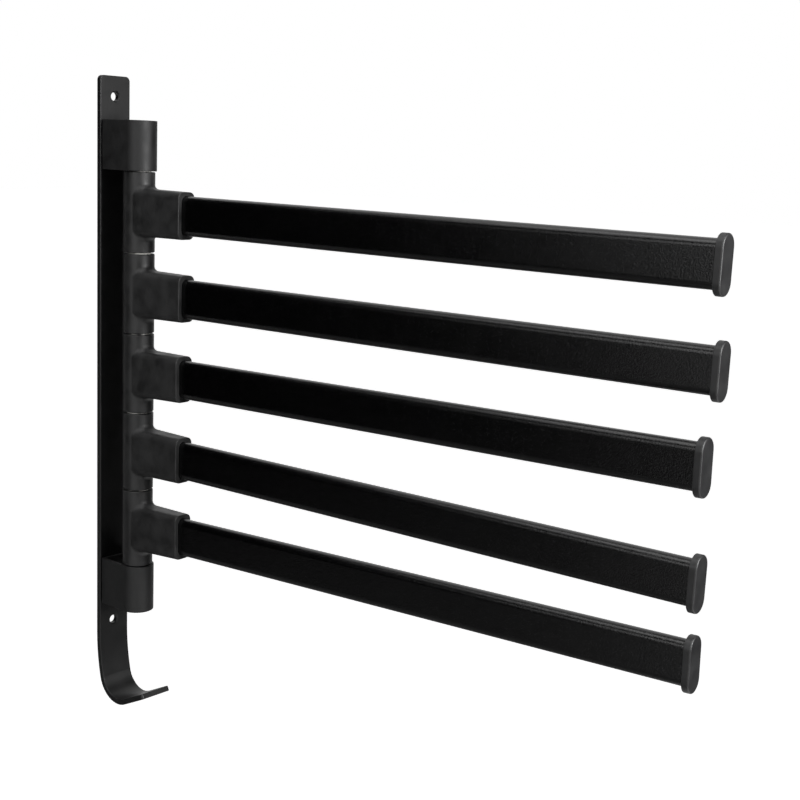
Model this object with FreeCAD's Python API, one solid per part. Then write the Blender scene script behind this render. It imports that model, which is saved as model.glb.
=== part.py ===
import FreeCAD, Part
import math
import os
from FreeCAD import Placement, Rotation, Vector

# Swing arm towel bar: five flat-oval bars that swing side to side on one upright rod,
# carried off a wall strip whose lower end is bent into a hook.
# Millimetres, +Z up. The wall is the plane Y = 0 and the bars reach towards -Y.
# The origin is midway between the two wall screw holes, on the back face of the strip.

# ---------------------------------------------------------------- driving dimensions
ARM_PITCH = 50.0                 # from one knuckle to the next along the rod
ARM_REACH = 382.4                # rod axis to the outer face of an end cap
REST_SWING_DEG = (4.65, 5.80, 4.12, 4.73, 4.99)    # top arm first, turned about +Z
ARM_TILT_DEG = (-0.32, -0.29, 0.63, -0.45, 0.96)   # top arm first, tip up is positive

PLATE_WIDTH = 22.5
PLATE_THICKNESS = 3.5
PLATE_CORNER_RADIUS = 3.0
PLATE_EDGE_RADIUS = 0.55         # all along its edges
PLATE_TOP_MARGIN = 12.5          # top edge above the centre of the top wall hole
WALL_HOLE_RADIUS = 2.75
WALL_HOLE_CHAMFER = 0.75
WALL_HOLE_MARGIN = 14.1          # hole centre beyond the outer end of a bracket

HOOK_STRAIGHT = 6.5              # straight strip below the bottom wall hole
HOOK_LEAD_RADIUS = 131.0         # back face, the slow start of the bend
HOOK_LEAD_DEG = 13.6
HOOK_BEND_RADIUS = 18.0          # back face, the tight part of the bend
HOOK_BEND_DEG = 102.6
HOOK_TIP_LENGTH = 21.2
HOOK_TIP_CORNER_RADIUS = 1.5

PIVOT_STANDOFF = 24.4            # front face of the strip to the rod axis
BRACKET_WIDTH = 20.7
BRACKET_HEIGHT = 30.3
BRACKET_WALL = 2.0
BRACKET_BACK_CORNER = 1.2
BRACKET_EDGE_RADIUS = 0.3
BRACKET_GAP = 0.5                # end of a bracket to the knuckle beside it

KNUCKLE_RADIUS = 9.4
KNUCKLE_EDGE_CHAMFER = 0.35
SOCKET_REACH = 40.4              # rod axis to the mouth of the socket
SOCKET_FLOOR = 16.4              # rod axis to the floor of the socket
SOCKET_TOP_WALL = 2.15           # above and below the bar, at the mouth
SOCKET_SIDE_WALL = 2.65          # each side of the bar, at the mouth
SOCKET_CORNER_RADIUS = 4.0
SOCKET_ROOT_HEIGHT = 28.9        # the socket widens towards the rod axis
SOCKET_ROOT_WIDTH = 18.0
SOCKET_BLEND_RADIUS = 4.0        # where the socket grows out of the sleeve
SOCKET_RIM_RADIUS = 0.4

BAR_HEIGHT = 23.8
BAR_THICKNESS = 8.0
BAR_WALL = 1.2

CAP_OVERHANG = 2.65              # how far the cap stands proud of the bar all round
CAP_THICKNESS = 4.0
CAP_EDGE_RADIUS = 0.9            # round the outer face
CAP_BACK_RADIUS = 0.3            # round the face beside the bar
CAP_SPIGOT_LENGTH = 10.0

ROD_RADIUS = 4.0
BUSH_WALL = 1.45
BUSH_LENGTH = 12.0
BUSH_FLANGE_RADIUS = 7.0
BUSH_FLANGE_THICKNESS = 0.45

PLUG_OUTER_RECESS = 5.0          # plug below the free end of its bracket
PLUG_INNER_RECESS = 3.0          # plug below the end that faces the knuckles
PLUG_WEB = 4.0                   # what is left of the plug beyond the rod's end

END_SCREW_RADIUS = 2.5
END_SCREW_GRIP = 10.0            # how far it goes into the rod
END_SCREW_HEAD_RADIUS = 4.4
END_SCREW_HEAD_HEIGHT = 2.7
END_SCREW_CROWN_RADIUS = 1.6
END_SCREW_DRIVE_RADIUS = 1.7
END_WASHER_RADIUS = 5.0
END_WASHER_THICKNESS = 1.0

BRACKET_SCREW_RADIUS = 2.0
BRACKET_SCREW_GRIP = 9.0         # how far it goes into the plug
BRACKET_SCREW_HEAD_RADIUS = 3.9
BRACKET_SCREW_CROSS = 5.0        # across its cross recess
BRACKET_SCREW_SPREAD = 12.0      # between the two screws of one bracket

BAR_SCREW_RADIUS = 1.5
BAR_SCREW_HEAD_RADIUS = 2.9
BAR_SCREW_CROSS = 3.8
BAR_SCREW_INSET = 11.0           # back from the mouth of the socket
BAR_SCREW_REACH = 2.2            # how far it ends beyond the bar's wall

SCREW_DRIVE_DEPTH = 1.2
SCREW_SLOT_WIDTH = 0.9
SCREW_HEAD_ROOM = 1.0            # cleared above a countersunk head

# ---------------------------------------------------------------- clearances
ROD_CLEARANCE = 0.05             # rod in bush and in plug
SEAT_CLEARANCE = 0.02            # pressed seats: bush in knuckle
FIT_CLEARANCE = 0.15             # bar in socket, spigot in bar, plug in bracket
THREAD_CLEARANCE = 0.03          # screw in its tapped hole
HOLE_CLEARANCE = 0.25            # screw in a plain hole
THRUST_CLEARANCE = 0.1           # between one bush flange and what it faces

# ---------------------------------------------------------------- places that follow
Z_AXIS = Vector(0, 0, 1)
OUT_OF_WALL = Vector(0, -1, 0)
FROM_THE_BACK = Rotation(Vector(1, 0, 0), -90)    # a screw that points along -Y
FROM_THE_SIDE = Rotation(Vector(0, 1, 0), 90)     # a screw that points along -X

ARM_COUNT = len(REST_SWING_DEG)
KNUCKLE_GAP = 2.0 * BUSH_FLANGE_THICKNESS + THRUST_CLEARANCE
KNUCKLE_HALF = (ARM_PITCH - KNUCKLE_GAP) / 2.0
STACK_HALF = ARM_COUNT * ARM_PITCH / 2.0
PIVOT_Y = -(PLATE_THICKNESS + PIVOT_STANDOFF)
STACK_END = STACK_HALF - KNUCKLE_GAP / 2.0
BRACKET_START = STACK_END + BRACKET_GAP
BRACKET_END = BRACKET_START + BRACKET_HEIGHT
WALL_HOLE_Z = BRACKET_END + WALL_HOLE_MARGIN
PLATE_TOP_Z = WALL_HOLE_Z + PLATE_TOP_MARGIN
HOOK_START_Z = -(WALL_HOLE_Z + HOOK_STRAIGHT)

SOCKET_HEIGHT = BAR_HEIGHT + 2.0 * (FIT_CLEARANCE + SOCKET_TOP_WALL)
SOCKET_WIDTH = BAR_THICKNESS + 2.0 * (FIT_CLEARANCE + SOCKET_SIDE_WALL)
SOCKET_SIDE_SLOPE = (SOCKET_ROOT_WIDTH - SOCKET_WIDTH) / 2.0 / SOCKET_REACH
BAR_SCREW_DISTANCE = SOCKET_REACH - BAR_SCREW_INSET
BAR_SCREW_HEAD_PLACE = SOCKET_WIDTH / 2.0 + SOCKET_SIDE_SLOPE * (BAR_SCREW_INSET - BAR_SCREW_HEAD_RADIUS)
CAP_START = ARM_REACH - CAP_THICKNESS
BUSH_OUTER_RADIUS = ROD_RADIUS + ROD_CLEARANCE + BUSH_WALL

PLUG_START = BRACKET_START + PLUG_INNER_RECESS
PLUG_END = BRACKET_END - PLUG_OUTER_RECESS
PLUG_WALL = BRACKET_WALL + FIT_CLEARANCE
BOSS_START = STACK_END + BUSH_FLANGE_THICKNESS + THRUST_CLEARANCE
ROD_END = PLUG_END - PLUG_WEB
CLOSE_ENOUGH = 0.01              # for finding an edge by where it lies


# ---------------------------------------------------------------- shapes used again
def cylinder(radius, start, end, x=0.0, y=0.0):
    """Upright cylinder between two heights."""
    return Part.makeCylinder(radius, end - start, Vector(x, y, start), Z_AXIS)


def on_rod(radius, start, end):
    """Upright cylinder on the rod axis."""
    return cylinder(radius, start, end, 0.0, PIVOT_Y)


def oval_face(height, width, y):
    """Flat-oval face in the plane of that Y: straight sides, half-round top and bottom."""
    half = width / 2.0
    straight = height / 2.0 - half
    lower_left = Vector(-half, y, -straight)
    upper_left = Vector(-half, y, straight)
    upper_right = Vector(half, y, straight)
    lower_right = Vector(half, y, -straight)
    edges = [
        Part.LineSegment(lower_left, upper_left).toShape(),
        Part.Arc(upper_left, Vector(0, y, height / 2.0), upper_right).toShape(),
        Part.LineSegment(upper_right, lower_right).toShape(),
        Part.Arc(lower_right, Vector(0, y, -height / 2.0), lower_left).toShape(),
    ]
    return Part.Face(Part.Wire(edges))


def rounded_section(height, width, corner, y):
    """Outline of an upright rounded rectangle in the plane of that Y."""
    plate = Part.makeBox(width, 1.0, height, Vector(-width / 2.0, y, -height / 2.0))

    def corner_edge(edge, middle):
        return near(middle.y, y + 0.5)

    plate = plate.makeFillet(corner, edges_where(plate, corner_edge))
    for face in plate.Faces:
        if near(face.CenterOfMass.y, y):
            return face.OuterWire
    raise ValueError("the section has no face at its own Y")


def oval_prism(height, width, start, end):
    """Flat-oval prism along -Y, from one distance off the rod axis to another."""
    return oval_face(height, width, -start).extrude(Vector(0, start - end, 0))


def d_profile(inset, start, end):
    """D-shaped block against the front of the strip: flat back, flat sides, round nose."""
    radius = BRACKET_WIDTH / 2.0 - inset
    back = -PLATE_THICKNESS - inset
    left_back = Vector(-radius, back, start)
    left_front = Vector(-radius, PIVOT_Y, start)
    right_front = Vector(radius, PIVOT_Y, start)
    right_back = Vector(radius, back, start)
    edges = [
        Part.LineSegment(left_back, left_front).toShape(),
        Part.Arc(left_front, Vector(0, PIVOT_Y - radius, start), right_front).toShape(),
        Part.LineSegment(right_front, right_back).toShape(),
        Part.LineSegment(right_back, left_back).toShape(),
    ]
    return Part.Face(Part.Wire(edges)).extrude(Vector(0, 0, end - start))


def edges_where(shape, test):
    """Edges whose middle point passes the test."""
    found = []
    for edge in shape.Edges:
        middle = edge.valueAt((edge.FirstParameter + edge.LastParameter) / 2.0)
        if test(edge, middle):
            found.append(edge)
    return found


def near(value, target):
    return abs(value - target) < CLOSE_ENOUGH


def upside_down(shape):
    """The same piece turned half round about the Y axis, for the other end of the rod."""
    turned = shape.copy()
    turned.rotate(Vector(0, 0, 0), Vector(0, 1, 0), 180)
    return turned


def both_ends(piece):
    """The piece and its upside-down twin."""
    return Part.makeCompound([piece, upside_down(piece)])


def cross_recess(across):
    """Cross-shaped cut, its mouth at the origin, going down -Z."""
    depth = SCREW_DRIVE_DEPTH
    half = across / 2.0
    slot = Part.makeBox(across, SCREW_SLOT_WIDTH, depth, Vector(-half, -SCREW_SLOT_WIDTH / 2.0, -depth))
    other = slot.copy()
    other.rotate(Vector(0, 0, 0), Z_AXIS, 90)
    return slot.fuse(other)


def hex_prism(radius, start, end):
    """Six-sided prism on the Z axis, for a socket drive."""
    points = []
    for corner in range(7):
        angle = math.radians(60 * corner)
        points.append(Vector(radius * math.cos(angle), radius * math.sin(angle), start))
    return Part.Face(Part.makePolygon(points)).extrude(Vector(0, 0, end - start))


def countersunk_screw(radius, head_radius, length, cross):
    """Screw with a 90 degree head, top face at the origin, pointing down -Z."""
    head_height = head_radius - radius
    head = Part.makeCone(radius, head_radius, head_height, Vector(0, 0, -head_height), Z_AXIS)
    shank = Part.makeCylinder(radius, length - head_height, Vector(0, 0, -length), Z_AXIS)
    screw = head.fuse(shank).removeSplitter()
    return screw.cut(cross_recess(cross))


def countersunk_hole(radius, head_radius, depth):
    """What is cut away for such a screw, with its plain-hole clearance."""
    wide = head_radius + HOLE_CLEARANCE
    narrow = radius + HOLE_CLEARANCE
    cone = Part.makeCone(narrow, wide, wide - narrow, Vector(0, 0, narrow - wide), Z_AXIS)
    return cone.fuse(cylinder(narrow, -depth, 0.0)).fuse(cylinder(wide, 0.0, SCREW_HEAD_ROOM))


def placed(shape, position, rotation):
    copy = shape.copy()
    copy.Placement = Placement(position, rotation)
    return copy


# ---------------------------------------------------------------- the wall strip
def hook_outline(offset):
    """Points and arcs of the strip's back face moved forward by an offset, top to tip."""
    lead = math.radians(HOOK_LEAD_DEG)
    whole = math.radians(HOOK_LEAD_DEG + HOOK_BEND_DEG)
    lead_centre = Vector(0, -HOOK_LEAD_RADIUS, HOOK_START_Z)
    step = HOOK_LEAD_RADIUS - HOOK_BEND_RADIUS
    bend_centre = lead_centre + Vector(0, step * math.cos(lead), -step * math.sin(lead))

    def on_arc(centre, radius, angle):
        direction = Vector(0, math.cos(angle), -math.sin(angle))
        return centre + direction * (radius - offset)

    start = on_arc(lead_centre, HOOK_LEAD_RADIUS, 0.0)
    lead_middle = on_arc(lead_centre, HOOK_LEAD_RADIUS, lead / 2.0)
    lead_end = on_arc(lead_centre, HOOK_LEAD_RADIUS, lead)
    bend_middle = on_arc(bend_centre, HOOK_BEND_RADIUS, (lead + whole) / 2.0)
    bend_end = on_arc(bend_centre, HOOK_BEND_RADIUS, whole)
    tip = bend_end + Vector(0, -math.sin(whole), -math.cos(whole)) * HOOK_TIP_LENGTH
    return start, lead_middle, lead_end, bend_middle, bend_end, tip


def wall_plate():
    """Strip and hook in one bent piece, with its wall holes and bracket screw holes."""
    back = hook_outline(0.0)
    front = hook_outline(PLATE_THICKNESS)
    top_back = Vector(0, 0, PLATE_TOP_Z)
    top_front = Vector(0, -PLATE_THICKNESS, PLATE_TOP_Z)
    edges = [
        Part.LineSegment(top_back, back[0]).toShape(),
        Part.Arc(back[0], back[1], back[2]).toShape(),
        Part.Arc(back[2], back[3], back[4]).toShape(),
        Part.LineSegment(back[4], back[5]).toShape(),
        Part.LineSegment(back[5], front[5]).toShape(),
        Part.LineSegment(front[5], front[4]).toShape(),
        Part.Arc(front[4], front[3], front[2]).toShape(),
        Part.Arc(front[2], front[1], front[0]).toShape(),
        Part.LineSegment(front[0], top_front).toShape(),
        Part.LineSegment(top_front, top_back).toShape(),
    ]
    side = Part.Face(Part.Wire(edges))
    side.translate(Vector(-PLATE_WIDTH / 2.0, 0, 0))
    strip = side.extrude(Vector(PLATE_WIDTH, 0, 0))

    def top_corner(edge, middle):
        return near(middle.z, PLATE_TOP_Z) and near(abs(middle.x), PLATE_WIDTH / 2.0)

    strip = strip.makeFillet(PLATE_CORNER_RADIUS, edges_where(strip, top_corner))
    tip_direction = (back[5] - back[4]).normalize()

    def at_tip(middle):
        return near((middle - back[5]).dot(tip_direction), 0.0)

    def tip_corner(edge, middle):
        return at_tip(middle) and near(abs(middle.x), PLATE_WIDTH / 2.0)

    strip = strip.makeFillet(HOOK_TIP_CORNER_RADIUS, edges_where(strip, tip_corner))

    def rim(edge, middle):
        through_the_strip = near(edge.Length, PLATE_THICKNESS)
        at_an_end = near(middle.z, PLATE_TOP_Z) or at_tip(middle)
        across_the_strip = near(middle.x, 0.0) and not at_an_end
        return not through_the_strip and not across_the_strip

    strip = strip.makeFillet(PLATE_EDGE_RADIUS, edges_where(strip, rim))
    for height in (WALL_HOLE_Z, -WALL_HOLE_Z):
        hole = Part.makeCylinder(WALL_HOLE_RADIUS, PLATE_THICKNESS, Vector(0, 0, height), OUT_OF_WALL)
        mouth = Part.makeCone(
            WALL_HOLE_RADIUS,
            WALL_HOLE_RADIUS + WALL_HOLE_CHAMFER,
            WALL_HOLE_CHAMFER,
            Vector(0, WALL_HOLE_CHAMFER - PLATE_THICKNESS, height),
            OUT_OF_WALL,
        )
        strip = strip.cut(hole.fuse(mouth))
    screw_hole = countersunk_hole(BRACKET_SCREW_RADIUS, BRACKET_SCREW_HEAD_RADIUS, PLATE_THICKNESS)
    for position in bracket_screw_places():
        strip = strip.cut(placed(screw_hole, position, FROM_THE_BACK))
    return strip


# ---------------------------------------------------------------- brackets and plugs
def bracket_screw_places():
    """Heads of the four bracket screws, flush with the back of the strip."""
    middle = (PLUG_START + PLUG_END) / 2.0
    heights = [middle - BRACKET_SCREW_SPREAD / 2.0, middle + BRACKET_SCREW_SPREAD / 2.0]
    return [Vector(0, 0, height) for height in heights + [-height for height in heights]]


def upper_bracket():
    """Hollow D-shaped profile that stands on the strip."""
    outer = d_profile(0.0, BRACKET_START, BRACKET_END)

    def back_corner(edge, middle):
        upright = near(middle.z, (BRACKET_START + BRACKET_END) / 2.0)
        return upright and near(middle.y, -PLATE_THICKNESS)

    outer = outer.makeFillet(BRACKET_BACK_CORNER, edges_where(outer, back_corner))

    def end_edge(edge, middle):
        return near(middle.z, BRACKET_START) or near(middle.z, BRACKET_END)

    outer = outer.makeFillet(BRACKET_EDGE_RADIUS, edges_where(outer, end_edge))
    shell = outer.cut(d_profile(BRACKET_WALL, BRACKET_START, BRACKET_END))
    hole_radius = BRACKET_SCREW_RADIUS + HOLE_CLEARANCE
    for position in bracket_screw_places()[:2]:
        hole_start = position + OUT_OF_WALL * PLATE_THICKNESS
        shell = shell.cut(Part.makeCylinder(hole_radius, BRACKET_WALL, hole_start, OUT_OF_WALL))
    return shell


def upper_plug():
    """Moulded block inside the bracket that holds the upper end of the rod."""
    block = d_profile(PLUG_WALL, PLUG_START, PLUG_END)
    block = block.fuse(on_rod(BUSH_FLANGE_RADIUS, BOSS_START, PLUG_START)).removeSplitter()
    block = block.cut(on_rod(ROD_RADIUS + ROD_CLEARANCE, BOSS_START, ROD_END))
    block = block.cut(on_rod(END_SCREW_RADIUS + HOLE_CLEARANCE, ROD_END, PLUG_END))
    depth = PLATE_THICKNESS + PLUG_WALL + BRACKET_SCREW_GRIP
    tapped_radius = BRACKET_SCREW_RADIUS + THREAD_CLEARANCE
    for position in bracket_screw_places()[:2]:
        block = block.cut(Part.makeCylinder(tapped_radius, depth, position, OUT_OF_WALL))
    return block


def bracket_screws():
    """The four screws that hold the brackets and plugs to the strip."""
    length = PLATE_THICKNESS + PLUG_WALL + BRACKET_SCREW_GRIP
    screw = countersunk_screw(
        BRACKET_SCREW_RADIUS, BRACKET_SCREW_HEAD_RADIUS, length, BRACKET_SCREW_CROSS
    )
    return Part.makeCompound([placed(screw, place, FROM_THE_BACK) for place in bracket_screw_places()])


# ---------------------------------------------------------------- rod and its fixings
def pivot_rod():
    """Round rod with a tapped hole in each end."""
    rod = on_rod(ROD_RADIUS, -ROD_END, ROD_END)
    tapped_radius = END_SCREW_RADIUS + THREAD_CLEARANCE
    upper = on_rod(tapped_radius, ROD_END - END_SCREW_GRIP, ROD_END)
    return rod.cut(upper).cut(upside_down(upper))


def end_washer():
    top = PLUG_END + END_WASHER_THICKNESS
    ring = on_rod(END_WASHER_RADIUS, PLUG_END, top)
    return ring.cut(on_rod(END_SCREW_RADIUS + HOLE_CLEARANCE, PLUG_END, top))


def end_screw():
    """Button-headed screw into the rod's end."""
    seat = PLUG_END + END_WASHER_THICKNESS
    top = seat + END_SCREW_HEAD_HEIGHT
    head = on_rod(END_SCREW_HEAD_RADIUS, seat, top)

    def top_rim(edge, middle):
        return near(middle.z, top)

    head = head.makeFillet(END_SCREW_CROWN_RADIUS, edges_where(head, top_rim))
    screw = head.fuse(on_rod(END_SCREW_RADIUS, ROD_END - END_SCREW_GRIP, seat)).removeSplitter()
    drive = hex_prism(END_SCREW_DRIVE_RADIUS, top - SCREW_DRIVE_DEPTH, top)
    drive.translate(Vector(0, PIVOT_Y, 0))
    return screw.cut(drive)


# ---------------------------------------------------------------- one arm
# Each arm is built straight ahead of the rod with its knuckle centred on the origin,
# then turned to its rest angle and lifted to its place on the rod.
def tilted(shape, tilt_deg):
    """Turned tip up about the rod, which is how far the arm stands off level."""
    copy = shape.copy()
    copy.rotate(Vector(0, 0, 0), Vector(1, 0, 0), -tilt_deg)
    return copy


def bar_screw_place():
    """Head of the bar screw, sunk in the +X side of the socket."""
    return Vector(BAR_SCREW_HEAD_PLACE, -BAR_SCREW_DISTANCE, 0)


def solid_socket():
    """Rounded block that narrows from the rod axis to its mouth."""
    root = rounded_section(SOCKET_ROOT_HEIGHT, SOCKET_ROOT_WIDTH, SOCKET_CORNER_RADIUS, 0.0)
    mouth = rounded_section(SOCKET_HEIGHT, SOCKET_WIDTH, SOCKET_CORNER_RADIUS, -SOCKET_REACH)
    block = Part.makeLoft([root, mouth], True, True)

    def mouth_rim(edge, middle):
        return near(middle.y, -SOCKET_REACH)

    return block.makeFillet(SOCKET_RIM_RADIUS, edges_where(block, mouth_rim))


def knuckle(tilt_deg):
    """Sleeve with a socket growing out of its front."""
    sleeve = cylinder(KNUCKLE_RADIUS, -KNUCKLE_HALF, KNUCKLE_HALF)
    body = sleeve.fuse(tilted(solid_socket(), tilt_deg)).removeSplitter()

    def blend(edge, middle):
        on_sleeve = near(math.hypot(middle.x, middle.y), KNUCKLE_RADIUS)
        on_seam_or_end = near(middle.y, 0.0) or near(abs(middle.z), KNUCKLE_HALF)
        return on_sleeve and not on_seam_or_end

    body = body.makeFillet(SOCKET_BLEND_RADIUS, edges_where(body, blend))

    def sleeve_end(edge, middle):
        return near(abs(middle.z), KNUCKLE_HALF)

    body = body.makeChamfer(KNUCKLE_EDGE_CHAMFER, edges_where(body, sleeve_end))
    bore = cylinder(BUSH_OUTER_RADIUS + SEAT_CLEARANCE, -KNUCKLE_HALF, KNUCKLE_HALF)
    play = 2.0 * FIT_CLEARANCE
    cavity = oval_prism(BAR_HEIGHT + play, BAR_THICKNESS + play, SOCKET_FLOOR, SOCKET_REACH)
    screw_hole = countersunk_hole(BAR_SCREW_RADIUS, BAR_SCREW_HEAD_RADIUS, BAR_SCREW_HEAD_PLACE)
    screw_hole = placed(screw_hole, bar_screw_place(), FROM_THE_SIDE)
    return body.cut(bore).cut(tilted(cavity.fuse(screw_hole), tilt_deg))


def bushes():
    """The two flanged bushes of one knuckle, one in each end of its bore."""
    start = KNUCKLE_HALF - BUSH_LENGTH
    end = KNUCKLE_HALF + BUSH_FLANGE_THICKNESS
    barrel = cylinder(BUSH_OUTER_RADIUS, start, KNUCKLE_HALF)
    flange = cylinder(BUSH_FLANGE_RADIUS, KNUCKLE_HALF, end)
    bore = cylinder(ROD_RADIUS + ROD_CLEARANCE, start, end)
    return both_ends(barrel.fuse(flange).removeSplitter().cut(bore))


def bar(tilt_deg):
    """Flat-oval tube from the floor of the socket to the end cap."""
    walls = 2.0 * BAR_WALL
    tube = oval_prism(BAR_HEIGHT, BAR_THICKNESS, SOCKET_FLOOR, CAP_START)
    hollow = oval_prism(BAR_HEIGHT - walls, BAR_THICKNESS - walls, SOCKET_FLOOR, CAP_START)
    hole_radius = BAR_SCREW_RADIUS + HOLE_CLEARANCE
    hole = Part.makeCylinder(hole_radius, BAR_SCREW_HEAD_PLACE, bar_screw_place(), Vector(-1, 0, 0))
    return tilted(tube.cut(hollow).cut(hole), tilt_deg)


def end_cap(tilt_deg):
    """Flat-oval cap with a spigot that fits inside the bar."""
    cap_height = BAR_HEIGHT + 2.0 * CAP_OVERHANG
    cap_width = BAR_THICKNESS + 2.0 * CAP_OVERHANG
    head = oval_prism(cap_height, cap_width, CAP_START, ARM_REACH)

    def outer_rim(edge, middle):
        return near(middle.y, -ARM_REACH)

    def back_rim(edge, middle):
        return near(middle.y, -CAP_START)

    head = head.makeFillet(CAP_EDGE_RADIUS, edges_where(head, outer_rim))
    head = head.makeFillet(CAP_BACK_RADIUS, edges_where(head, back_rim))
    play = 2.0 * (BAR_WALL + FIT_CLEARANCE)
    spigot = oval_prism(BAR_HEIGHT - play, BAR_THICKNESS - play, CAP_START - CAP_SPIGOT_LENGTH, CAP_START)
    return tilted(head.fuse(spigot).removeSplitter(), tilt_deg)


def bar_screw(tilt_deg):
    """Countersunk screw through the side of the socket into the bar."""
    length = BAR_SCREW_HEAD_PLACE - BAR_THICKNESS / 2.0 + BAR_WALL + BAR_SCREW_REACH
    screw = countersunk_screw(BAR_SCREW_RADIUS, BAR_SCREW_HEAD_RADIUS, length, BAR_SCREW_CROSS)
    return tilted(placed(screw, bar_screw_place(), FROM_THE_SIDE), tilt_deg)


def on_the_rod(shape, index):
    """Turned to the arm's rest angle and moved to its place on the rod."""
    copy = shape.copy()
    copy.rotate(Vector(0, 0, 0), Z_AXIS, REST_SWING_DEG[index])
    height = STACK_HALF - (index + 0.5) * ARM_PITCH
    copy.translate(Vector(0, PIVOT_Y, height))
    return copy


def arm_pieces(index):
    """All the pieces of one arm, counted from the top."""
    tilt = ARM_TILT_DEG[index]
    pieces = {
        "knuckle": knuckle(tilt),
        "bushes": bushes(),
        "bar": bar(tilt),
        "bar_screw": bar_screw(tilt),
        "end_cap": end_cap(tilt),
    }
    return {f"arm_{index + 1}_{name}": on_the_rod(shape, index) for name, shape in pieces.items()}


# ---------------------------------------------------------------- the whole object
def all_pieces():
    bracket = upper_bracket()
    plug = upper_plug()
    pieces = {
        "wall_plate": wall_plate(),
        "upper_bracket": bracket,
        "lower_bracket": upside_down(bracket),
        "upper_pivot_plug": plug,
        "lower_pivot_plug": upside_down(plug),
        "bracket_screws": bracket_screws(),
        "pivot_rod": pivot_rod(),
        "rod_end_washers": both_ends(end_washer()),
        "rod_end_screws": both_ends(end_screw()),
    }
    for index in range(ARM_COUNT):
        pieces.update(arm_pieces(index))
    return pieces


os.makedirs("parts", exist_ok=True)
for name, shape in all_pieces().items():
    shape.exportStep(f"parts/{name}.step")
    print(f"{name:20s} solids {len(shape.Solids)} valid {shape.isValid()} volume {shape.Volume:.1f}")
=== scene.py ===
# %% [markdown]
# # A swing arm towel bar, dressed for its picture
# The rack is a steel strip that screws to a wall. Five flat bars swing on one upright rod in
# front of it, and the strip's lower end is bent forward into a hook.
# Its shapes could be modelled here by hand, but they exist already as exact solids in which
# every hole fits its pin. So this lesson loads those, and adds what a picture needs: a camera,
# a small photo studio and the finishes.

# %% Load the engineering model
import math

import bpy
from mathutils import Matrix, Vector

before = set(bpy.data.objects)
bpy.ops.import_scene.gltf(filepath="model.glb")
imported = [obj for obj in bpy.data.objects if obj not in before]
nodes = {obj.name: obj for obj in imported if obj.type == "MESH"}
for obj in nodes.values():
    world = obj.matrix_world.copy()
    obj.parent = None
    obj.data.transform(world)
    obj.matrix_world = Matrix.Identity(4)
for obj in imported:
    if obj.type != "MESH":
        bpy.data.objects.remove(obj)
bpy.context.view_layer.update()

# %% [markdown]
# ## The camera
# A product picture like this is taken with a medium-long lens from a little above. The camera
# stands on the left of the rack, about half-way from the front to the side, and leans by two
# degrees. It could be placed by dragging it, but then nobody could say where it stands. Instead
# it is described by the point it looks at, a compass angle, a height angle, a distance and the
# lean, because each of those can be judged by eye, and its matrix is built from them.

# %% Camera
LOOK_AT = Vector((0.11898, -0.1435, -0.01372))
TURN = math.radians(49.631)          # round to the left of straight ahead
HEIGHT = math.radians(10.304)        # above level
LEAN = math.radians(2.389)
DISTANCE = 0.85853
LENS = 60.08                         # millimetres
SENSOR_WIDTH = 36.0                  # millimetres


def camera_matrix():
    """Where the camera stands and how it is turned."""
    ahead = math.cos(HEIGHT)
    back = Vector((-math.sin(TURN) * ahead, -math.cos(TURN) * ahead, math.sin(HEIGHT)))
    level_right = Vector((math.cos(TURN), -math.sin(TURN), 0.0))
    level_up = back.cross(level_right)
    right = math.cos(LEAN) * level_right + math.sin(LEAN) * level_up
    up = math.cos(LEAN) * level_up - math.sin(LEAN) * level_right
    turned = Matrix((right, up, back)).transposed().to_4x4()
    return Matrix.Translation(LOOK_AT + back * DISTANCE) @ turned


camera_data = bpy.data.cameras.new("product_camera")
camera_data.lens = LENS
camera_data.sensor_width = SENSOR_WIDTH
camera = bpy.data.objects.new("product_camera", camera_data)
camera.matrix_world = camera_matrix()
bpy.context.scene.collection.objects.link(camera)
bpy.context.scene.camera = camera
print("camera stands at", [round(value, 3) for value in camera.matrix_world.translation])

# %% [markdown]
# ## Building with nodes
# A finish is a chain of small steps. It could be typed out link by link, but that hides the
# idea. Five short helpers keep it readable: one fills a socket, one adds a node with its
# sockets filled, one does a step of arithmetic, one starts a material, and one fills in the
# shader of a material.

# %% Node helpers
def fill(tree, socket, value):
    """Links a socket to another one, or gives it a plain value."""
    if isinstance(value, bpy.types.NodeSocket):
        tree.links.new(value, socket)
    else:
        socket.default_value = value


def add_node(tree, kind, **inputs):
    """Adds one node; the names of its sockets are written with _ for each space."""
    node = tree.nodes.new(kind)
    for name, value in inputs.items():
        fill(tree, node.inputs[name.replace("_", " ")], value)
    return node


def calculate(tree, operation, first, second=0.0, third=0.0):
    """One arithmetic step; returns its result."""
    node = tree.nodes.new("ShaderNodeMath")
    node.operation = operation
    for socket, value in zip(node.inputs, (first, second, third)):
        fill(tree, socket, value)
    return node.outputs[0]


def start_material(name):
    """A new material, which comes with its Principled shader."""
    material = bpy.data.materials.new(name)
    material.use_nodes = True
    return material


def set_shader(material, **values):
    """Fills the shader's sockets; what is the same all over goes in as a plain value."""
    tree = material.node_tree
    shader = tree.nodes["Principled BSDF"]
    for name, value in values.items():
        fill(tree, shader.inputs[name.replace("_", " ")], value)


print("helpers ready")

# %% [markdown]
# ## The white surround
# Black goods are lit by what they mirror, more than by the light that falls on them. A white
# world at full strength would give white edges, but it would also wash out the blacks. So the
# surround is white for the camera and in mirrorings only, and gives much less light than that.

# %% White surround
SURROUND_LIGHT = 0.15
WHITE = (1, 1, 1, 1)


def seen_in_picture(tree):
    """One where the camera looks, straight or in a mirroring, and nought for plain light."""
    path = tree.nodes.new("ShaderNodeLightPath")
    seen = calculate(tree, "MAXIMUM", path.outputs["Is Camera Ray"], path.outputs["Is Glossy Ray"])
    return calculate(tree, "MAXIMUM", seen, path.outputs["Is Transmission Ray"])


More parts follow.
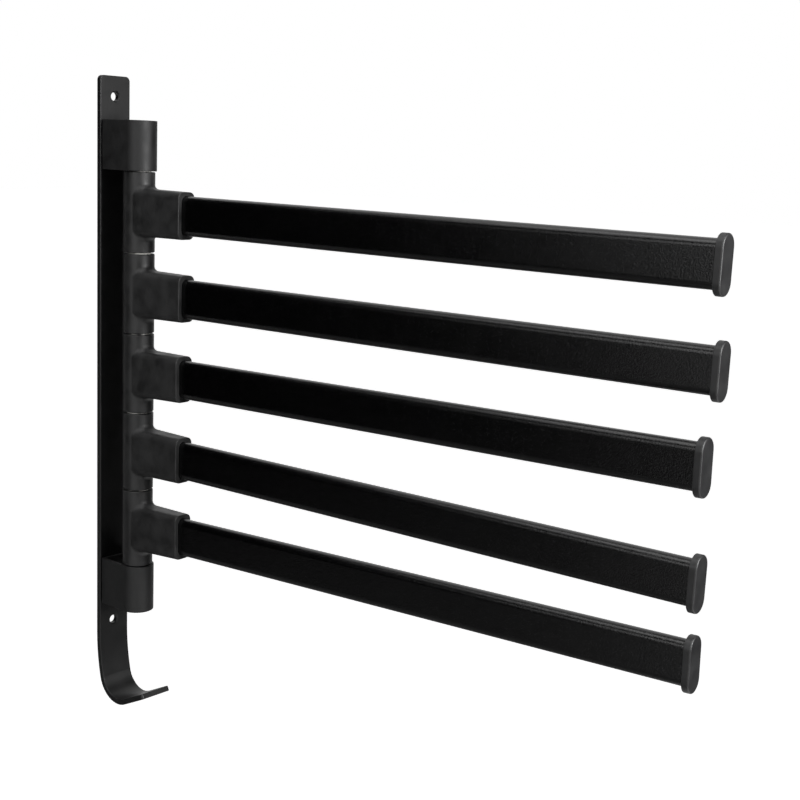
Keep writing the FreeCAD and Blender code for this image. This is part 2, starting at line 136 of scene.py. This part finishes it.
def white_surround():
    """The world behind and around the rack."""
    world = bpy.data.worlds.new("white_studio")
    world.use_nodes = True
    tree = world.node_tree
    tree.nodes.clear()
    seen = seen_in_picture(tree)
    strength = calculate(tree, "MULTIPLY_ADD", seen, 1.0 - SURROUND_LIGHT, SURROUND_LIGHT)
    background = add_node(tree, "ShaderNodeBackground", Color=WHITE, Strength=strength)
    output = tree.nodes.new("ShaderNodeOutputWorld")
    tree.links.new(background.outputs[0], output.inputs[0])
    bpy.context.scene.world = world


white_surround()
bpy.context.scene.view_settings.view_transform = "Standard"
print("surround gives light at", SURROUND_LIGHT)

# %% [markdown]
# ## The floor
# The rack hangs on a wall, so the floor is far below it. A plain white plane would do, but in
# weak light its far edge would draw a grey line across the picture. Here the paper also glows
# a little where it is looked at, just enough to meet the white behind it.

# %% Floor
FLOOR_DEPTH = -1.1
FLOOR_SIZE = 60.0
FLOOR_PAINT = (0.9, 0.9, 0.9, 1)
FLOOR_ROUGHNESS = 0.9
FLOOR_GLOW = 0.83


def deselect():
    """Nothing selected, so that the next operator acts on its own object alone."""
    for item in bpy.context.selected_objects:
        item.select_set(False)


deselect()
bpy.ops.mesh.primitive_plane_add(size=FLOOR_SIZE, location=(0, 0, FLOOR_DEPTH))
floor = bpy.context.object
floor.name = "studio_floor"
floor_finish = start_material("floor_paper")
floor_tree = floor_finish.node_tree
glow = calculate(floor_tree, "MULTIPLY", seen_in_picture(floor_tree), FLOOR_GLOW)
set_shader(floor_finish, Base_Color=FLOOR_PAINT, Roughness=FLOOR_ROUGHNESS)
set_shader(floor_finish, Emission_Color=WHITE, Emission_Strength=glow)
floor.data.materials.append(floor_finish)
print("floor at", FLOOR_DEPTH)

# %% [markdown]
# ## Three soft lamps
# A photographer lights such a rack with soft boxes. A tall one straight in front draws a bright
# line down each round sleeve. A wide one on the left lights the sides, and one overhead the top
# edges. Point lamps would be simpler, but their mirrorings are dots. Each lamp is described by
# how bright its face looks, so a change of its size leaves that alone.

# %% Lamps
MIDDLE = Vector((0.0, -0.15, 0.0))   # all lamps and cards face this point


def direction(turn, height):
    """Unit vector by compass: 0 is the wall's left, 90 straight in front of the wall."""
    turn = math.radians(turn)
    height = math.radians(height)
    level = math.cos(height)
    return Vector((-math.cos(turn) * level, -math.sin(turn) * level, math.sin(height)))


def face_the_middle(item, front, turn, height, distance):
    """Puts an object round the rack with its front axis towards the middle."""
    away = direction(turn, height)
    item.location = MIDDLE + away * distance
    item.rotation_euler = (-away).to_track_quat(front, "Y").to_euler()


def soft_lamp(name, turn, height, distance, size, brightness):
    """An oblong lamp; its power follows from how bright its face is."""
    lamp_data = bpy.data.lights.new(name, "AREA")
    lamp_data.shape = "RECTANGLE"
    lamp_data.size, lamp_data.size_y = size
    lamp_data.energy = brightness * math.pi * size[0] * size[1]
    lamp = bpy.data.objects.new(name, lamp_data)
    face_the_middle(lamp, "-Z", turn, height, distance)
    bpy.context.scene.collection.objects.link(lamp)


soft_lamp("front_lamp", turn=95.0, height=19.0, distance=1.1, size=(0.2, 0.75), brightness=41.0)
soft_lamp("left_lamp", turn=7.0, height=17.0, distance=1.6, size=(1.2, 0.6), brightness=2.7)
soft_lamp("overhead_lamp", turn=-5.0, height=66.0, distance=1.4, size=(1.2, 0.8), brightness=2.2)

# %% [markdown]
# ## Cards
# Where black paint mirrors a white wall it looks grey. Photographers stand black cards out of
# the picture for it to mirror instead. Here one stands on the left behind the rack, for the
# sides of the bars, one on the right, for the strip, and one behind the camera, between the two
# bright lines on the sleeves. A grey one lies low behind the rack and tones down the bars'
# lower edges. The paint could be made blacker, but then its bright edges would go too. A card
# is seen in mirrorings only, so it takes no light away.

# %% Cards
def card_paper(name, grey):
    """Matt paper of one grey, for a card."""
    paper = start_material(name)
    set_shader(paper, Base_Color=(grey, grey, grey, 1), Roughness=1.0, Specular_IOR_Level=0.0)
    return paper


def card(name, turn, height, distance, size, paper):
    """A card that faces the rack and that only mirrorings see."""
    deselect()
    bpy.ops.mesh.primitive_plane_add(size=1.0)
    sheet = bpy.context.object
    sheet.name = name
    sheet.scale = (*size, 1.0)
    face_the_middle(sheet, "Z", turn, height, distance)
    sheet.visible_camera = False
    sheet.visible_diffuse = False
    sheet.visible_shadow = False
    sheet.data.materials.append(paper)


black_paper = card_paper("black_card", 0.002)
grey_paper = card_paper("grey_card", 0.25)
card("left_back_card", turn=-42.0, height=18.5, distance=1.6, size=(2.7, 3.0), paper=black_paper)
card("right_card", turn=138.0, height=12.0, distance=1.0, size=(2.4, 3.0), paper=black_paper)
card("camera_side_card", turn=57.0, height=0.0, distance=2.0, size=(1.7, 3.0), paper=black_paper)
card("low_card", turn=-75.0, height=-64.0, distance=1.0, size=(3.4, 1.5), paper=grey_paper)

# %% [markdown]
# ## Fine surfaces
# A powder coat has soft hills like the peel of an orange, and a moulding has a fine grain.
# On the lacquer, tiny lighter dots in the colour are painted glints. All of them drift in
# tone from patch to patch, by handling and by how they were sprayed. Each pattern is made once
# as a group, with its size as a socket, so that every finish can share it. It is built from
# noise in the object's own coordinates, and needs no picture and no unwrapping.

# %% Fine surface groups
GRIT_FINENESS = 4.0                  # times finer than the hills
GRIT_HEIGHT = 0.35                   # of a hill
PATCHES_PER_METRE = 110.0
NOISE_MIDDLE = 0.5                   # noise runs from nought to one
GLINT_DOT_RADIUS = 0.45                  # of a cell


def new_group(name, inputs, outputs):
    """An empty shader group with named number sockets."""
    group = bpy.data.node_groups.new(name, "ShaderNodeTree")
    for title, value in inputs:
        socket = group.interface.new_socket(title, in_out="INPUT", socket_type="NodeSocketFloat")
        socket.default_value = value
    for title in outputs:
        group.interface.new_socket(title, in_out="OUTPUT", socket_type="NodeSocketFloat")
    entry = group.nodes.new("NodeGroupInput").outputs
    leave = group.nodes.new("NodeGroupOutput").inputs
    place = group.nodes.new("ShaderNodeTexCoord").outputs["Object"]
    return group, entry, leave, place


def make_orange_peel():
    """Hills with finer grit on them, and patches that drift from nought to one."""
    inputs = [("Size", 600.0), ("Contrast", 1.0)]
    group, entry, leave, place = new_group("orange_peel", inputs, ["Height", "Drift"])
    hills = add_node(group, "ShaderNodeTexNoise", Vector=place, Scale=entry["Size"], Detail=2.0)
    fine_size = calculate(group, "MULTIPLY", entry["Size"], GRIT_FINENESS)
    grit = add_node(group, "ShaderNodeTexNoise", Vector=place, Scale=fine_size, Detail=1.0)
    height = calculate(group, "MULTIPLY_ADD", grit.outputs["Fac"], GRIT_HEIGHT, hills.outputs["Fac"])
    group.links.new(height, leave["Height"])
    patches = add_node(group, "ShaderNodeTexNoise", Vector=place, Scale=PATCHES_PER_METRE, Detail=4.0)
    from_middle = calculate(group, "SUBTRACT", patches.outputs["Fac"], NOISE_MIDDLE)
    drift = calculate(group, "MULTIPLY_ADD", from_middle, entry["Contrast"], NOISE_MIDDLE)
    drift.node.use_clamp = True
    group.links.new(drift, leave["Drift"])
    return group


def make_painted_glints():
    """Painted glints: scattered lighter dots in the colour, each a small cell that is on or not."""
    inputs = [("Size", 2500.0), ("Share", 0.1)]
    group, entry, leave, place = new_group("painted_glints", inputs, ["Mask"])
    cells = add_node(group, "ShaderNodeTexVoronoi", Vector=place, Scale=entry["Size"])
    chance = add_node(group, "ShaderNodeSeparateColor", Color=cells.outputs["Color"])
    edge = calculate(group, "SUBTRACT", 1.0, entry["Share"])
    lit = calculate(group, "GREATER_THAN", chance.outputs["Red"], edge)
    core = calculate(group, "LESS_THAN", cells.outputs["Distance"], GLINT_DOT_RADIUS)
    group.links.new(calculate(group, "MULTIPLY", lit, core), leave["Mask"])
    return group


orange_peel = make_orange_peel()
painted_glints = make_painted_glints()
print("groups:", [group.name for group in bpy.data.node_groups])

# %% [markdown]
# ## One recipe for all coats
# Steel, paint and plastic differ here in numbers only: two tones to drift between, a roughness
# that drifts along, and the size and depth of the relief. Separate node trees would say the
# same thing eight times over, so one function builds them all. The relief is a tenth of a
# millimetre deep at most, too fine for geometry, so a bump does it.

# %% The recipe
GLINT_CELLS_PER_METRE = 2600.0
# Lighter than the bars' black: the colour of the painted glints.
GLINT_PAINT_COLOUR = (0.015, 0.015, 0.016, 1)
MIX_SHARE, MIX_FIRST, MIX_SECOND, MIX_RESULT = 0, 6, 7, 2     # a colour mix's sockets


def use_group(tree, group, **inputs):
    """Puts one of the groups into a material."""
    node = tree.nodes.new("ShaderNodeGroup")
    node.node_tree = group
    for name, value in inputs.items():
        node.inputs[name].default_value = value
    return node.outputs


def mix_colours(tree, share, first, second):
    """Goes from the first colour to the second as the share goes from nought to one."""
    node = tree.nodes.new("ShaderNodeMix")
    node.data_type = "RGBA"
    fill(tree, node.inputs[MIX_SHARE], share)
    fill(tree, node.inputs[MIX_FIRST], first)
    fill(tree, node.inputs[MIX_SECOND], second)
    return node.outputs[MIX_RESULT]


def coat(name, dark, light, gloss, spread, peel_size, peel_depth, contrast=1.0, glint_share=0.0):
    """A coat whose tone and gloss drift from patch to patch, with a fine relief."""
    material = start_material(name)
    tree = material.node_tree
    texture = use_group(tree, orange_peel, Size=peel_size, Contrast=contrast)
    colour = mix_colours(tree, texture["Drift"], (*dark, 1), (*light, 1))
    # Lighter dots, where asked for, are painted glints.
    if glint_share:
        glint_dots = use_group(tree, painted_glints, Size=GLINT_CELLS_PER_METRE, Share=glint_share)
        colour = mix_colours(tree, glint_dots["Mask"], colour, GLINT_PAINT_COLOUR)
    rough = calculate(tree, "MULTIPLY_ADD", texture["Drift"], spread, gloss - spread / 2.0)
    relief = add_node(
        tree, "ShaderNodeBump", Strength=1.0, Distance=peel_depth, Height=texture["Height"])
    set_shader(material, Base_Color=colour, Roughness=rough, Normal=relief.outputs[0])
    return material


print("recipe ready")

# %% [markdown]
# ## Painted steel
# The strip and the brackets have a satin powder coat. The bars have a smoother, glossier
# lacquer with a fine grain, which shows only where they mirror something bright. Its glints are
# painted too, as tiny lighter dots in its colour.
# One black could serve for all three, but in the picture the brackets look softer and the bars
# deeper.

# %% Painted steel
strip_paint = coat(
    "strip_powder_coat", dark=(0.0006, 0.0006, 0.0007), light=(0.0012, 0.0012, 0.0013),
    gloss=0.46, spread=0.08, peel_size=650.0, peel_depth=0.000025, contrast=2.0)
bracket_paint = coat(
    "bracket_powder_coat", dark=(0.0012, 0.0012, 0.0014), light=(0.003, 0.003, 0.0032),
    gloss=0.6, spread=0.14, peel_size=650.0, peel_depth=0.00003, contrast=2.5)
# The bars' lacquer gets painted glints: a share of lighter dots in its colour.
bar_paint = coat(
    "bar_lacquer", dark=(0.0001, 0.0001, 0.0002), light=(0.0003, 0.0003, 0.0004),
    gloss=0.22, spread=0.04, peel_size=1100.0, peel_depth=0.00008, contrast=1.5, glint_share=0.05)
print("painted steel:", strip_paint.name, bracket_paint.name, bar_paint.name)

# %% [markdown]
# ## Black mouldings
# The knuckles and the end caps are moulded nylon, which looks a little greyer than the paint
# and blotchy where it was handled. One plastic could dress them all, but the caps are smoother
# and a touch lighter. The plugs in the brackets look black in their shadow, so they get a dull
# plastic that mirrors nearly nothing.

# %% Black mouldings
PLUG_SHINE = 0.1

moulding = coat(
    "moulded_nylon", dark=(0.003, 0.003, 0.0032), light=(0.0125, 0.0125, 0.0128),
    gloss=0.54, spread=0.16, peel_size=1100.0, peel_depth=0.00004, contrast=2.8)
cap_plastic = coat(
    "moulded_caps", dark=(0.0095, 0.0095, 0.01), light=(0.0175, 0.0175, 0.018),
    gloss=0.47, spread=0.1, peel_size=1100.0, peel_depth=0.00002, contrast=2.0)
plug_plastic = coat(
    "plug_nylon", dark=(0.001, 0.001, 0.001), light=(0.003, 0.003, 0.003),
    gloss=0.9, spread=0.1, peel_size=900.0, peel_depth=0.00003, contrast=2.0)
set_shader(plug_plastic, Specular_IOR_Level=PLUG_SHINE)
print("mouldings:", moulding.name, cap_plastic.name, plug_plastic.name)

# %% [markdown]
# ## Bushes and bare steel
# The bushes are a pale, waxy plastic and show as slivers between the sleeves. Some of each rim
# is painted dark as shade, for the shade that falls deep in the gaps between the sleeves. Those
# bits could be painted by hand, but they are tiny, so the recipe scatters them at random: its two
# tones lie far apart and change sharply. The rod, screws and washers are plated with zinc: a
# metal, so its colour is that of its mirrorings.

# %% Bushes and bare steel
# The dark tone of the bushes is painted shade, scattered over the rims at random.
bush_plastic = coat(
    "pale_acetal", dark=(0.02, 0.02, 0.019), light=(0.66, 0.65, 0.61),
    gloss=0.45, spread=0.1, peel_size=1500.0, peel_depth=0.00001, contrast=5.0)
zinc = coat(
    "zinc_plate", dark=(0.5, 0.5, 0.48), light=(0.62, 0.62, 0.6),
    gloss=0.3, spread=0.12, peel_size=1200.0, peel_depth=0.00001)
set_shader(zinc, Metallic=1.0)
print("bushes and steel:", bush_plastic.name, zinc.name)

# %% [markdown]
# ## Dressing the pieces
# Each piece of the rack is a node of its own with one slot for its finish. They could be filled
# one by one in the editor, but the five arms are alike, so a loop dresses them.

# %% Dress the pieces
ARMS = range(1, 6)
BARE_STEEL = ("bracket_screws", "pivot_rod", "rod_end_washers", "rod_end_screws")


def dress(name, material):
    """Gives a node its finish."""
    for slot in nodes[name].material_slots:
        slot.material = material


dress("wall_plate", strip_paint)
for end in ("upper", "lower"):
    dress(f"{end}_bracket", bracket_paint)
    dress(f"{end}_pivot_plug", plug_plastic)
for name in BARE_STEEL:
    dress(name, zinc)
for arm in ARMS:
    dress(f"arm_{arm}_knuckle", moulding)
    dress(f"arm_{arm}_end_cap", cap_plastic)
    dress(f"arm_{arm}_bar", bar_paint)
    dress(f"arm_{arm}_bushes", bush_plastic)
    dress(f"arm_{arm}_bar_screw", zinc)
print("dressed", len(nodes), "nodes")
